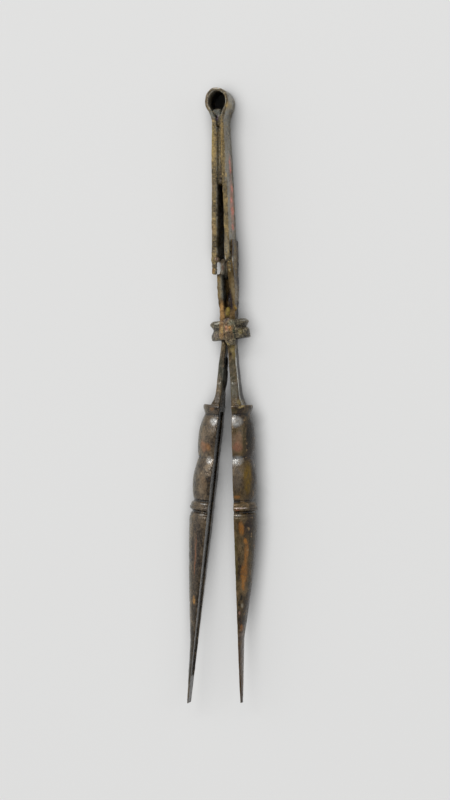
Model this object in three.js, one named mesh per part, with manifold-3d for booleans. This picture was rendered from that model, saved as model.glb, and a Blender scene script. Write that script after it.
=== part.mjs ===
// Bronze spring tweezers, lying flat on their side, in millimetres.
// +X is to the right, +Y towards the eye, +Z up from the surface that they lie on.
// A folded spring bow carries two cast half-round legs, and a grooved ring slides on the stems.
import * as THREE from 'three';
import { mergeVertices } from 'three/addons/utils/BufferGeometryUtils.js';
import Module from 'manifold-3d';

const wasm = await Module();
wasm.setup();

// Spring bow: one strip folded around an eye. Its leaves are given by their inner faces
const LEAF_WIDTH = 11.6;
const EYE = { x: -2.15, y: 64.65, radiusX: 3.2, radiusY: 3.75, wall: 0.9 };
const NECK_Y = 59.6;
const LEFT_LEAF = { neckX: -2.17, bowX: -2.17, bowY: 38, endX: -2.17, endY: 22.2, root: 1.4, tip: 1.4 };
const RIGHT_LEAF = { neckX: -1.4, bowX: -0.05, bowY: 33, endX: -0.02, endY: 22.4, root: 1.1, tip: 1.35 };
const PRONG_LENGTH = 3.5;
const PRONG_DEPTH = 2.0;
const LAP_CLEARANCE = 0.3;

// Legs: lengths run down from the waist, where the legs meet
const LEGS_LEAN = -2.51;
const OPEN_ANGLE = 3.94;
const LEFT_LEG = {
  length: 96.0, drop: 0.35, jaw: -0.35, foot: 2.6, blade: 1.6, tip: 0.5, tipHalfDepth: 2.5,
};
const RIGHT_LEG = {
  length: 95.5, drop: 0.1, jaw: 1.17, foot: 2.75, blade: 1.15, tip: 0.45, tipHalfDepth: 1.7,
};
const LEFT_TAPER_POWER = 1.2;
const RIGHT_TAPER_POWER = 1.4;
const STEM_LENGTH = 16.0;
const STEM_HALF_DEPTH = 2.8;
const FOOT_HALF_DEPTH = 4.6;
const WAIST_HALF_GAP = 0.2;
const FLANGE_RADIUS = 5.1;
const FLANGE_RIM = 1.2;
const FLANGE_HEIGHT = 2.6;
const FLANGE_NECK = 4.4;
const BEAD_RADII = [5.55, 5.7];
const BEAD_LENGTH = 11.45;
const BEAD_NECK = 4.7;
const BEAD_TOP_POWER = 0.85;
const BEAD_BOTTOM_POWER = 0.5;
const COLLAR_RADIUS = 5.75;
const COLLAR_HEIGHT = 2.6;
const GROOVE_RADIUS = 4.9;
const GROOVE_HEIGHT = 0.6;
const SHOULDER_RADIUS = 5.45;
const SHOULDER_HEIGHT = 0.9;
const BLADE_LENGTH = 17.0;
const BLADE_HALF_DEPTH = 3.5;
const TROUGH_DEPTH = 0.4;
const TROUGH_SHARE = 0.58;

// Tangs and stems: height above the waist, inner and outer face, and half depth
const LEFT_STEM = [
  [18.0, 3.05, 4.45, 4.2],
  [14.5, 2.55, 4.17, 3.7],
  [12.0, 2.04, 3.66, 3.4],
  [9.4, 1.58, 3.02, 3.05],
  [6.7, 1.14, 2.66, STEM_HALF_DEPTH],
  [0, WAIST_HALF_GAP, 1.45, STEM_HALF_DEPTH],
  [-5.5, 0.01, 1.6, STEM_HALF_DEPTH],
  [-10.0, -0.15, 1.47, 3.0],
  [-13.4, -0.26, 1.33, 4.0],
];
const RIGHT_STEM = [
  [21.6, 0.95, 2.6, 5.0],
  [17.0, 1.05, 2.75, 3.7],
  [14.5, 1.3, 2.8, 3.45],
  [9.4, 1.3, 2.62, 3.05],
  [6.7, 0.75, 2.5, STEM_HALF_DEPTH],
  [0, WAIST_HALF_GAP, 2.27, STEM_HALF_DEPTH],
  [-5.5, 0.53, 2.53, STEM_HALF_DEPTH],
  [-10.0, 0.81, 2.87, 3.0],
  [-13.4, 1.01, 3.14, 4.0],
];
const LEFT_TANG = { top: 22.7, thickness: 1.35 };
const RIGHT_TANG = { top: 28.0, thickness: 0.45 };
const TANG_HALF_DEPTH = 5.2;
const SHOULDER_GAP = 0.3;
const BROKEN_HEIGHT = 4.2;
const BROKEN_DEPTH = 3.9;

// Sliding ring: a grooved spool with a slot for both stems
const RING = { x: 0.6, y: 4.1, radius: 5.3, groove: 4.45, height: 5.2 };
const RING_TILT_ANGLE = 6.5;
const RING_DEPTH_SHARE = 0.85;
const RING_CLEARANCE = 0.3;
const SLOT_HALF_WIDTH = 2.95;
const SLOT_CORNER = 1.3;

const ARC_STEPS = 14;
const LEAF_STEPS = 10;
const RING_STEPS = 48;
const EYE_STEPS = 40;
const BEAD_STEPS = 10;
const TAPER_STEPS = 8;

const radians = THREE.MathUtils.degToRad;
const mix = THREE.MathUtils.lerp;
const MIDDLE = LEAF_WIDTH / 2;

function solidOf(geometry) {
  const bare = geometry.clone();
  bare.deleteAttribute('normal');
  bare.deleteAttribute('uv');
  const merged = mergeVertices(bare, 1e-5);
  return new wasm.Manifold(new wasm.Mesh({
    numProp: 3,
    vertProperties: new Float32Array(merged.attributes.position.array),
    triVerts: new Uint32Array(merged.index.array),
  }));
}

function geometryOf(solid) {
  const { vertProperties, triVerts } = solid.getMesh();
  const geometry = new THREE.BufferGeometry();
  geometry.setAttribute('position', new THREE.BufferAttribute(vertProperties, 3));
  geometry.setIndex(new THREE.BufferAttribute(triVerts, 1));
  geometry.computeVertexNormals();
  return geometry;
}

// Both faces of a leaf, from the neck down
function leafFaces(leaf, side) {
  const inner = new THREE.QuadraticBezierCurve(
    new THREE.Vector2(leaf.neckX, NECK_Y),
    new THREE.Vector2(leaf.bowX, leaf.bowY),
    new THREE.Vector2(leaf.endX, leaf.endY),
  ).getPoints(LEAF_STEPS);
  const outer = inner.map((point, i) => new THREE.Vector2(
    point.x + side * mix(leaf.root, leaf.tip, i / LEAF_STEPS),
    point.y,
  ));
  return { inner, outer };
}

function eyeArc(inset, from, to) {
  const points = [];
  for (let i = 0; i <= EYE_STEPS; i += 1) {
    const angle = mix(from, to, i / EYE_STEPS);
    points.push(new THREE.Vector2(
      EYE.x + (EYE.radiusX - inset) * Math.sin(angle),
      EYE.y - (EYE.radiusY - inset) * Math.cos(angle),
    ));
  }
  return points;
}

// The strip's outline: up the left leaf, round the eye, down the right leaf and back inside
function bowOutline() {
  const left = leafFaces(LEFT_LEAF, -1);
  const right = leafFaces(RIGHT_LEAF, 1);
  const mouth = Math.PI / 4;
  return new THREE.Shape([
    ...left.outer.reverse(),
    ...eyeArc(0, -mouth, mouth - 2 * Math.PI),
    ...right.outer,
    ...right.inner.reverse(),
    ...eyeArc(EYE.wall, mouth - 2 * Math.PI, -mouth),
    ...left.inner,
  ]);
}

function prongOutline() {
  const { endX, endY, tip } = LEFT_LEAF;
  const round = tip / 2;
  const shape = new THREE.Shape();
  shape.moveTo(endX, endY + round);
  shape.lineTo(endX - tip, endY + round);
  shape.lineTo(endX - tip, endY - PRONG_LENGTH + round);
  shape.absarc(endX - round, endY - PRONG_LENGTH + round, round, Math.PI, 2 * Math.PI, false);
  shape.closePath();
  return shape;
}

// The left leaf has lost its end but for a prong along its upper edge
function springBow() {
  const strip = new THREE.ExtrudeGeometry(bowOutline(), { depth: LEAF_WIDTH, bevelEnabled: false });
  const prong = new THREE.ExtrudeGeometry(prongOutline(), { depth: PRONG_DEPTH, bevelEnabled: false });
  prong.translate(0, 0, LEAF_WIDTH - PRONG_DEPTH);
  return solidOf(strip).add(solidOf(prong));
}

// One section of a leg: a flat inner side with a shallow trough, and a rounded outer side
function section({ along, inner, outer, halfDepth, power, trough }, side) {
  const points = [];
  for (let i = 0; i <= ARC_STEPS; i += 1) {
    const angle = mix(-Math.PI / 2, Math.PI / 2, i / ARC_STEPS);
    const out = i % ARC_STEPS ? Math.cos(angle) ** (2 / power) : 0;
    const up = Math.sign(angle) * Math.abs(Math.sin(angle)) ** (2 / power);
    points.push([mix(inner, outer, out), halfDepth * up]);
  }
  points.push([inner, halfDepth * TROUGH_SHARE]);
  points.push([inner + trough, halfDepth * TROUGH_SHARE / 2]);
  points.push([inner + trough, -halfDepth * TROUGH_SHARE / 2]);
  points.push([inner, -halfDepth * TROUGH_SHARE]);
  return points.map(([out, up]) => new THREE.Vector3(side * out, -along, up));
}

function loft(sections, mirrored) {
  const count = sections[0].length;
  const positions = sections.flat().flatMap((point) => [point.x, point.y, point.z]);
  const index = [];
  const face = (a, b, c) => index.push(...(mirrored ? [a, c, b] : [a, b, c]));
  const cap = (ring, reversed) => {
    const middle = new THREE.Box3().setFromPoints(sections[ring]).getCenter(new THREE.Vector3());
    const hub = positions.push(middle.x, middle.y, middle.z) / 3 - 1;
    for (let i = 0; i < count; i += 1) {
      const a = ring * count + i;
      const b = ring * count + (i + 1) % count;
      if (reversed) face(hub, b, a);
      else face(hub, a, b);
    }
  };
  for (let ring = 0; ring + 1 < sections.length; ring += 1) {
    for (let i = 0; i < count; i += 1) {
      const a = ring * count + i;
      const b = ring * count + (i + 1) % count;
      face(a, b, a + count);
      face(b, b + count, a + count);
    }
  }
  cap(0, true);
  cap(sections.length - 1, false);
  const geometry = new THREE.BufferGeometry();
  geometry.setAttribute('position', new THREE.Float32BufferAttribute(positions, 3));
  geometry.setIndex(index);
  return geometry;
}

// A point of the whole object, seen from a leg: how far down it is and how far out
function fromLeg(x, y, side) {
  const turned = new THREE.Vector2(x, y).rotateAround(
    new THREE.Vector2(),
    -radians(LEGS_LEAN + side * OPEN_ANGLE),
  );
  return { along: -turned.y, out: side * turned.x };
}

function squareStation(along, inner, outer, halfDepth) {
  return { along, inner, outer, halfDepth, power: 7, trough: 0 };
}

// The left tang lies inside its leaf
function leftLap() {
  const face = LEFT_LEAF.endX + LAP_CLEARANCE;
  return [LEFT_TANG.top, LEFT_LEAF.endY - PRONG_LENGTH].map((y) => {
    const { along, out } = fromLeg(face, y, -1);
    return squareStation(along, out - LEFT_TANG.thickness, out, TANG_HALF_DEPTH);
  });
}

// The right tang lies outside its leaf
function rightLap() {
  const face = RIGHT_LEAF.endX + RIGHT_LEAF.tip + LAP_CLEARANCE;
  return [RIGHT_TANG.top, RIGHT_LEAF.endY - SHOULDER_GAP].map((y) => {
    const { along, out } = fromLeg(face, y, 1);
    return squareStation(along, out, out + RIGHT_TANG.thickness, TANG_HALF_DEPTH);
  });
}

// From the lap through the ring, flaring into the foot that stands on the flange
function stemStations(lap, stem, { jaw, foot }) {
  const stations = [
    ...lap,
    ...stem.map(([height, inner, outer, halfDepth]) => (
      squareStation(-height, inner, outer, halfDepth)
    )),
  ];
  const last = stations[stations.length - 1];
  for (const share of [0.5, 0.8, 1]) {
    stations.push(squareStation(
      mix(last.along, STEM_LENGTH, share),
      mix(last.inner, jaw, share),
      mix(last.outer, jaw + foot, share ** 3),
      mix(last.halfDepth, FOOT_HALF_DEPTH, share),
    ));
  }
  return stations;
}

function roundStation(along, inner, radius) {
  return { along, inner, outer: inner + radius, halfDepth: radius, power: 2, trough: TROUGH_DEPTH };
}

function beadStations(start, inner, radius, top, bottom) {
  const stations = [];
  for (let i = 1; i <= BEAD_STEPS; i += 1) {
    const share = (1 - Math.cos(Math.PI * i / BEAD_STEPS)) / 2;
    const power = share < 0.5 ? BEAD_TOP_POWER : BEAD_BOTTOM_POWER;
    const swell = Math.sin(Math.PI * share) ** power;
    const size = mix(mix(top, bottom, share), radius, i < BEAD_STEPS ? swell : 0);
    stations.push(roundStation(start + share * BEAD_LENGTH, inner, size));
  }
  return stations;
}

// Flange, two beads, collar and groove, each half-round about the flat inner side
function mouldingStations(inner) {
  const beads = STEM_LENGTH + FLANGE_HEIGHT;
  const middle = beads + BEAD_LENGTH;
  const collar = middle + BEAD_LENGTH;
  const groove = collar + COLLAR_HEIGHT;
  const shoulder = groove + GROOVE_HEIGHT;
  return [
    roundStation(STEM_LENGTH, inner, FLANGE_RADIUS),
    roundStation(STEM_LENGTH + FLANGE_RIM, inner, FLANGE_RADIUS),
    roundStation(beads, inner, FLANGE_NECK),
    ...beadStations(beads, inner, BEAD_RADII[0], FLANGE_NECK, BEAD_NECK),
    ...beadStations(middle, inner, BEAD_RADII[1], BEAD_NECK, BEAD_NECK),
    roundStation(mix(collar, groove, 0.3), inner, mix(BEAD_NECK, COLLAR_RADIUS, 0.9)),
    roundStation(mix(collar, groove, 0.55), inner, COLLAR_RADIUS),
    roundStation(mix(collar, groove, 0.85), inner, mix(BEAD_NECK, COLLAR_RADIUS, 0.85)),
    roundStation(groove, inner, GROOVE_RADIUS),
    roundStation(shoulder, inner, GROOVE_RADIUS),
    roundStation(shoulder + SHOULDER_HEIGHT, inner, SHOULDER_RADIUS),
  ];
}

// The taper turns from half-round into a flat blade
function bladeStations({ length, jaw, blade, tip, tipHalfDepth }, taperPower) {
  const start = STEM_LENGTH + FLANGE_HEIGHT + 2 * BEAD_LENGTH
    + COLLAR_HEIGHT + GROOVE_HEIGHT + SHOULDER_HEIGHT;
  const end = length - BLADE_LENGTH;
  const stations = [];
  for (let i = 1; i <= TAPER_STEPS; i += 1) {
    const share = i / TAPER_STEPS;
    stations.push({
      along: mix(start, end, share),
      inner: jaw,
      outer: jaw + mix(SHOULDER_RADIUS, blade, share ** taperPower),
      halfDepth: mix(SHOULDER_RADIUS, BLADE_HALF_DEPTH, share),
      power: mix(2, 3, share),
      trough: mix(TROUGH_DEPTH, TROUGH_DEPTH / 2, share),
    });
  }
  for (const share of [0.3, 0.6, 0.85, 1]) {
    stations.push({
      along: mix(end, length, share),
      inner: jaw,
      outer: jaw + mix(blade, tip, share),
      halfDepth: mix(BLADE_HALF_DEPTH, tipHalfDepth, share ** 2),
      power: 3,
      trough: mix(TROUGH_DEPTH / 2, 0, share),
    });
  }
  return stations;
}

function leg(side, lap, stem, sizes, taperPower) {
  const lower = [...mouldingStations(sizes.jaw), ...bladeStations(sizes, taperPower)];
  const stations = [
    ...stemStations(lap, stem, sizes),
    ...lower.map((station) => ({ ...station, along: station.along + sizes.drop })),
  ];
  return solidOf(loft(stations.map((station) => section(station, side)), side < 0));
}

// The left tang's upper corner has broken away
function leftLeg() {
  const size = 4 * TANG_HALF_DEPTH;
  const corner = new THREE.BoxGeometry(size, size, size);
  corner.translate(
    0,
    -leftLap()[0].along - BROKEN_HEIGHT + size / 2,
    TANG_HALF_DEPTH - BROKEN_DEPTH + size / 2,
  );
  return leg(-1, leftLap(), LEFT_STEM, LEFT_LEG, LEFT_TAPER_POWER).subtract(solidOf(corner));
}

function ringProfile() {
  const half = RING.height / 2;
  const profile = [
    [0, -1], [0.92, -1], [0.985, -0.92], [1, -0.65], [0.98, -0.42],
    [RING.groove / RING.radius, 0.12],
    [0.965, 0.52], [1, 0.63], [0.985, 0.77], [0.87, 0.96], [0.8, 1], [0, 1],
  ];
  return profile.map(([x, y]) => new THREE.Vector2(x * RING.radius, y * half));
}

function slotOutline() {
  const x = SLOT_HALF_WIDTH - SLOT_CORNER;
  const y = STEM_HALF_DEPTH + RING_CLEARANCE - SLOT_CORNER;
  const shape = new THREE.Shape();
  shape.absarc(x, -y, SLOT_CORNER, -Math.PI / 2, 0, false);
  shape.absarc(x, y, SLOT_CORNER, 0, Math.PI / 2, false);
  shape.absarc(-x, y, SLOT_CORNER, Math.PI / 2, Math.PI, false);
  shape.absarc(-x, -y, SLOT_CORNER, Math.PI, 1.5 * Math.PI, false);
  return shape;
}

function slidingRing() {
  const spool = new THREE.LatheGeometry(ringProfile(), RING_STEPS).scale(1, 1, RING_DEPTH_SHARE);
  const slot = new THREE.ExtrudeGeometry(slotOutline(), {
    depth: 2 * RING.height, bevelEnabled: false, curveSegments: 5,
  });
  slot.translate(0, 0, -RING.height).rotateX(Math.PI / 2);
  return solidOf(spool).subtract(solidOf(slot));
}

function bronze(color, roughness) {
  return new THREE.MeshStandardMaterial({ color, roughness, metalness: 0.55 });
}

function piece(name, solid, material, x, y, z, turn) {
  const mesh = new THREE.Mesh(geometryOf(solid), material);
  mesh.name = name;
  mesh.position.set(x, y, z);
  mesh.rotation.z = radians(turn);
  return mesh;
}

const rightLeg = leg(1, rightLap(), RIGHT_STEM, RIGHT_LEG, RIGHT_TAPER_POWER);
const tweezers = new THREE.Group();
tweezers.add(
  piece('spring_bow', springBow(), bronze(0x8c7b55, 0.6), 0, 0, 0, 0),
  piece('left_leg', leftLeg(), bronze(0x5f5a52, 0.5), 0, 0, MIDDLE, LEGS_LEAN - OPEN_ANGLE),
  piece('right_leg', rightLeg, bronze(0x6b5f50, 0.5), 0, 0, MIDDLE, LEGS_LEAN + OPEN_ANGLE),
  piece('sliding_ring', slidingRing(), bronze(0x70695c, 0.6), RING.x, RING.y, MIDDLE, RING_TILT_ANGLE),
);

// The origin is under the middle of the whole object, on the surface that it lies on
const bounds = new THREE.Box3().setFromObject(tweezers, true);
const centre = bounds.getCenter(new THREE.Vector3());
tweezers.position.set(-centre.x, -centre.y, -bounds.min.z);

export default tweezers;
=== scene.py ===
import math

import bpy
from mathutils import Matrix, Vector


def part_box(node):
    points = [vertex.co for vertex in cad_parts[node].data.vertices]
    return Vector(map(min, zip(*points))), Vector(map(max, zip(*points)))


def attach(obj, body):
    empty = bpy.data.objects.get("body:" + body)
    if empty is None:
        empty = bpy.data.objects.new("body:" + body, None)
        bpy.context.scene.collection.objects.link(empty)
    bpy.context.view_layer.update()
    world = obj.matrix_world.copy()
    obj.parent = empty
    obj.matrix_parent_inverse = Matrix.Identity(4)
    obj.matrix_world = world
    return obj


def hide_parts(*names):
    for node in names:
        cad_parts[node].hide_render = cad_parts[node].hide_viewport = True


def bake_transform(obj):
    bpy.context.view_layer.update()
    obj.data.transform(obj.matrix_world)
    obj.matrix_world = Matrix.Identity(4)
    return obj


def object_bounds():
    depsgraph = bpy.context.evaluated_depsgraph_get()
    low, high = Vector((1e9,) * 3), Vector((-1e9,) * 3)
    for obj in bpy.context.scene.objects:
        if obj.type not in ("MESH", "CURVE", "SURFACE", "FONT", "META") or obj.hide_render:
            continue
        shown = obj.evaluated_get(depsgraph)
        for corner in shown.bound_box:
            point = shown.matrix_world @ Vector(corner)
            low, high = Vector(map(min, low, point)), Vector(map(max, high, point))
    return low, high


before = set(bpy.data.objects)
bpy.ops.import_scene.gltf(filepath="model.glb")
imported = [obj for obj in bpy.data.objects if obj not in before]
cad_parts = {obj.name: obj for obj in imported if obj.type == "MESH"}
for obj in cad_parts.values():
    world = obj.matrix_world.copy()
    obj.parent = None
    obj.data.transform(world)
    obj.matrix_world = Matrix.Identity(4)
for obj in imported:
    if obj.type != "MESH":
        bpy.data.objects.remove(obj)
cad_low, cad_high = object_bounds()

# SPRING BOW
# One bronze strip, folded cold around a rod to leave an open eye, with a leaf down each side.
# The lower end of the left leaf has corroded away, all but a prong along its upper edge.

MM = 0.001
# In millimetres: the gap left to the CAD's outer faces, what counts as touching, and a fine voxel
margin = 0.02
touch = 0.01
fine_voxel = 0.16
# Share of the triangles that each corroded mesh keeps
kept_share = 0.6
bow_low, bow_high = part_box("spring_bow")
eye_place = Vector((-2.15, 64.65, 0))
eye_radii = Vector((3.2, 3.75, 0))
waist = Vector((
    bow_low.x - (eye_place.x - eye_radii.x) * MM,
    bow_high.y - (eye_place.y + eye_radii.y) * MM,
    (bow_low.z + bow_high.z) / 2,
))
leaf_width = bow_high.z - bow_low.z


# Every place on the object is in millimetres from the waist, where the stems cross the ring
def at_waist(x, y, z=0.0):
    return waist + Vector((x, y, z)) * MM


def along(y):
    return at_waist(0, y).y


def start_point(name, place):
    bpy.ops.object.select_all(action="DESELECT")
    bpy.ops.mesh.primitive_plane_add(size=MM, location=place)
    piece = bpy.context.object
    piece.name = name
    bpy.ops.object.transform_apply(location=True, rotation=True, scale=True)
    bpy.ops.object.mode_set(mode="EDIT")
    bpy.ops.mesh.select_all(action="SELECT")
    bpy.ops.mesh.merge(type="CENTER")
    return piece


def draw_line(start, points):
    for point in points:
        bpy.ops.mesh.extrude_region_move(TRANSFORM_OT_translate={"value": point - start})
        start = point


def pick_vertices(piece, wanted):
    bpy.ops.object.mode_set(mode="EDIT")
    bpy.ops.mesh.select_mode(type="VERT")
    bpy.ops.mesh.select_all(action="DESELECT")
    bpy.ops.object.mode_set(mode="OBJECT")
    for vertex in piece.data.vertices:
        vertex.select = wanted(vertex.co)
    bpy.ops.object.mode_set(mode="EDIT")


def use_modifier(piece, kind, **settings):
    bpy.ops.object.select_all(action="DESELECT")
    piece.select_set(True)
    bpy.context.view_layer.objects.active = piece
    modifier = piece.modifiers.new(kind.lower(), kind)
    for key, value in settings.items():
        setattr(modifier, key, value)
    bpy.ops.object.modifier_apply(modifier=modifier.name)


def join_pieces(first, *others):
    bpy.ops.object.select_all(action="DESELECT")
    for piece in (first, *others):
        piece.select_set(True)
    bpy.context.view_layer.objects.active = first
    bpy.ops.object.join()
    return first


def block(low, high, rounding=0.0):
    bpy.ops.object.select_all(action="DESELECT")
    bpy.ops.mesh.primitive_cube_add(size=1, location=(low + high) / 2)
    piece = bpy.context.object
    piece.scale = high - low
    bpy.ops.object.transform_apply(location=True, rotation=True, scale=True)
    if rounding:
        bpy.ops.object.mode_set(mode="EDIT")
        bpy.ops.mesh.select_all(action="SELECT")
        bpy.ops.mesh.bevel(offset=rounding * MM, segments=3)
        bpy.ops.object.mode_set(mode="OBJECT")
    return piece


def lump(place, radii):
    bpy.ops.object.select_all(action="DESELECT")
    bpy.ops.mesh.primitive_ico_sphere_add(subdivisions=3, radius=1, location=place)
    piece = bpy.context.object
    piece.scale = Vector(radii) * MM
    bpy.ops.object.transform_apply(location=True, rotation=True, scale=True)
    return piece


def corrode(piece, grain, depth, weights="", level=0.62):
    clouds = bpy.data.textures.new(f"{piece.name}_corrosion", "CLOUDS")
    clouds.noise_scale = grain * MM
    clouds.noise_depth = 3
    use_modifier(
        piece, "DISPLACE", texture=clouds, texture_coords="LOCAL", direction="NORMAL",
        mid_level=level, strength=depth * MM, vertex_group=weights,
    )


def weigh(piece, name, share):
    group = piece.vertex_groups.new(name=name)
    for vertex in piece.data.vertices:
        weight = share(vertex.co)
        if weight > 0:
            group.add([vertex.index], min(weight, 1.0), "REPLACE")


def mark(piece, name, share):
    layer = piece.data.attributes.new(name, "FLOAT", "POINT")
    for vertex in piece.data.vertices:
        layer.data[vertex.index].value = share(vertex.co, vertex.normal)


def rise(value, start, end):
    share = min(max((value - start) / (end - start), 0.0), 1.0)
    return share * share * (3 - 2 * share)


def near_level(co, y, reach):
    return 1 - abs(co.y - along(y)) / (reach * MM)


# Nothing stands proud of the strip's edges, on which the whole object lies
def lay_flat(piece):
    for vertex in piece.data.vertices:
        for axis in range(3):
            lowest = cad_low[axis] + margin * MM
            highest = cad_high[axis] - margin * MM
            vertex.co[axis] = min(max(vertex.co[axis], lowest), highest)
    bpy.ops.object.select_all(action="DESELECT")
    piece.select_set(True)
    bpy.context.view_layer.objects.active = piece
    bpy.ops.object.shade_smooth()


neck = 59.6
eye_foot = 62
leaf_top = 57
leaf_foot = 22.4
lower_edge = -5.8
strip_half = 0.68
left_inner_face = -2.17
left_line = left_inner_face - strip_half - margin
left_root = at_waist(left_line, 22.2, lower_edge)
left_neck = at_waist(left_line, neck, lower_edge)
leaf_steps = 8
spring = start_point("spring_strip", left_root)
draw_line(left_root, [left_root.lerp(left_neck, step / leaf_steps) for step in range(1, leaf_steps + 1)])
eye_sweep = 1.5 * math.pi
eye_centre = at_waist(eye_place.x, eye_place.y, lower_edge)
eye_start = at_waist(eye_place.x - 2.0, eye_place.y - 2.33, lower_edge)
draw_line(left_neck, [at_waist(-3.2, 60.5, lower_edge), eye_start])
bpy.ops.mesh.spin(steps=30, angle=eye_sweep, center=eye_centre, axis=(0, 0, 1))
eye_end = eye_centre + Matrix.Rotation(-eye_sweep, 3, "Z") @ (eye_start - eye_centre)
right_line = [
    (-0.65, 60.5), (-0.85, neck), (-0.33, 50), (0.08, 42), (0.4, 34), (0.6, 28), (0.66, leaf_foot),
]
draw_line(eye_end, [at_waist(x, y, lower_edge) for x, y in right_line])
bpy.ops.object.mode_set(mode="OBJECT")
pick_vertices(spring, lambda co: co.y > along(eye_foot))
eye_stretch = (0.9, 1.075, 1)
bpy.ops.transform.resize(value=eye_stretch, center_override=eye_centre)
bpy.ops.mesh.select_all(action="SELECT")
bpy.ops.mesh.extrude_region_move(TRANSFORM_OT_translate={"value": (0, 0, leaf_width)})
bpy.ops.object.mode_set(mode="OBJECT")
weigh(spring, "leaf", lambda co: 1 - rise(co.y, along(leaf_top), along(eye_foot)))
use_modifier(
    spring, "SOLIDIFY", thickness=2 * strip_half * MM, offset=0.0, use_even_offset=True,
    vertex_group="leaf", thickness_vertex_group=0.66,
)
prong = block(at_waist(-3.57, 18.6, 3.7), at_waist(-2.2, 23.5, 5.8), rounding=0.5)
solder_lump = lump(at_waist(-1.95, 22.6, 4.5), radii=(0.45, 0.75, 0.8))
thicker = block(at_waist(-2.6, 24, -5.2), at_waist(-1.95, 58, 5.5), rounding=0.15)
upper_crust = block(at_waist(-2.3, 48.5, -5.0), at_waist(-0.9, 61.4, 4.8), rounding=0.5)
lower_crust = block(at_waist(-2.3, 42.5, -5.0), at_waist(-0.5, 49.5, 4.8), rounding=0.6)
right_solder = block(at_waist(1.0, 21.5, -5.0), at_waist(1.8, 27.6, 4.8), rounding=0.2)
leaf_end = lump(at_waist(1.15, 21.6, 3.7), radii=(0.75, 2.6, 1.5))
below_eye = block(at_waist(-3.7, 60.6, -2.0), at_waist(-1.05, 62.9, 4.5), rounding=0.95)
join_pieces(
    spring, prong, solder_lump, thicker, upper_crust, lower_crust, right_solder, leaf_end, below_eye
)
use_modifier(spring, "REMESH", mode="VOXEL", voxel_size=fine_voxel * MM)
corrode(spring, grain=4.0, depth=0.3)
corrode(spring, grain=1.1, depth=0.22)
weigh(spring, "ends", lambda co: near_level(co, leaf_foot, reach=1.6))
corrode(spring, grain=1.4, depth=0.8, weights="ends")
crack_line = 20.4
crack_size = 0.22
weigh(spring, "crack", lambda co: near_level(co, crack_line, crack_size))
use_modifier(spring, "DISPLACE", strength=-crack_size * MM, mid_level=0, vertex_group="crack")
use_modifier(spring, "DECIMATE", ratio=kept_share)


# Masks inside the eye: painted light on the wall near its mouth, painted shade deeper in
def inside_eye(co, normal):
    fold_foot = along(60)
    outer_radius = 5.2 * MM
    reach = (co - eye_centre).xy
    if co.y < fold_foot or reach.length > outer_radius:
        return 0.0
    return rise(-reach.normalized().dot(normal.xy), 0.1, 0.5)


def deep_inside_eye(co, normal):
    shallow = 1.5 * MM
    deep = 7.5 * MM
    return inside_eye(co, normal) * rise(bow_high.z - co.z, shallow, deep)


def part_of(piece, name, keeps):
    bpy.ops.object.select_all(action="DESELECT")
    piece.select_set(True)
    bpy.context.view_layer.objects.active = piece
    bpy.ops.object.duplicate()
    part = bpy.context.object
    part.name = name
    for place, normal in keeps:
        bpy.ops.object.mode_set(mode="EDIT")
        bpy.ops.mesh.select_all(action="SELECT")
        bpy.ops.mesh.bisect(
            plane_co=place, plane_no=normal, use_fill=True, clear_inner=True, clear_outer=False
        )
        bpy.ops.object.mode_set(mode="OBJECT")
    lay_flat(part)
    # Side faces are tinted a pale grey: partly their grey patina, partly painted light
    mark(part, "grey_and_lit_side", lambda co, normal: rise(normal.x, 0.35, 0.75))
    mark(part, "by_eye", lambda co, normal: rise(co.y, along(leaf_top), along(61)))
    mark(part, "inside_lit", inside_eye)
    mark(part, "eye_depth_painted_shade", deep_inside_eye)
    return part


leaf_cut = at_waist(0, 58.2)
between_leaves = at_waist(-1.75, 0)
eye_strip = part_of(spring, "eye_strip", [(leaf_cut, (0, 1, 0))])
left_leaf = part_of(spring, "left_leaf", [(leaf_cut, (0, -1, 0)), (between_leaves, (-1, 0, 0))])
right_leaf = part_of(spring, "right_leaf", [(leaf_cut, (0, -1, 0)), (between_leaves, (1, 0, 0))])
bpy.data.objects.remove(spring)


def node(tree, kind, **settings):
    made = tree.nodes.new(kind)
    for key, value in settings.items():
        setattr(made, key, value)
    return made


def fill(socket, source):
    if isinstance(source, bpy.types.NodeSocket):
        socket.id_data.links.new(source, socket)
    else:
        socket.default_value = source


def noise(tree, place, scale, detail, rough):
    made = node(tree, "ShaderNodeTexNoise")
    fill(made.inputs["Vector"], place)
    fill(made.inputs["Scale"], scale)
    fill(made.inputs["Detail"], detail)
    fill(made.inputs["Roughness"], rough)
    return made


def span(tree, value, low, high, out_low=0.0, out_high=1.0):
    made = node(tree, "ShaderNodeMapRange", interpolation_type="SMOOTHSTEP")
    fill(made.inputs["Value"], value)
    for key, number in zip(("From Min", "From Max", "To Min", "To Max"), (low, high, out_low, out_high)):
        fill(made.inputs[key], number)
    return made.outputs["Result"]


def combine(tree, operation, first, second):
    made = node(tree, "ShaderNodeMath", operation=operation)
    fill(made.inputs[0], first)
    fill(made.inputs[1], second)
    return made.outputs[0]


def tinted(tree, share, below, above):
    made = node(tree, "ShaderNodeMix", data_type="RGBA")
    fill(made.inputs["Factor"], share)
    fill(made.inputs["A"], below)
    fill(made.inputs["B"], above)
    return made.outputs["Result"]


# A tone as it is seen, less the grey veil that the surface's gloss lays over it
def tone(red, green, blue):
    def linear(value):
        value /= 255
        return value / 12.92 if value <= 0.04045 else ((value + 0.055) / 1.055) ** 2.4

    veil = 0.018
    darkest = 0.002
    lift = 1.15
    return (*(max(linear(value) - veil, darkest) * lift for value in (red, green, blue)), 1.0)


def shade(colour, factor):
    return tone(*(min(value * factor, 255) for value in colour))


# A place on the bronze, by where the camera sees it and how high it lies above the middle
tilt = math.radians(9.3)
look_at = at_waist(-0.827, -14.7)
distance = 802.0
pixels_across = 450
pixels_down = 800
focal_pixels = 3000


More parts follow.
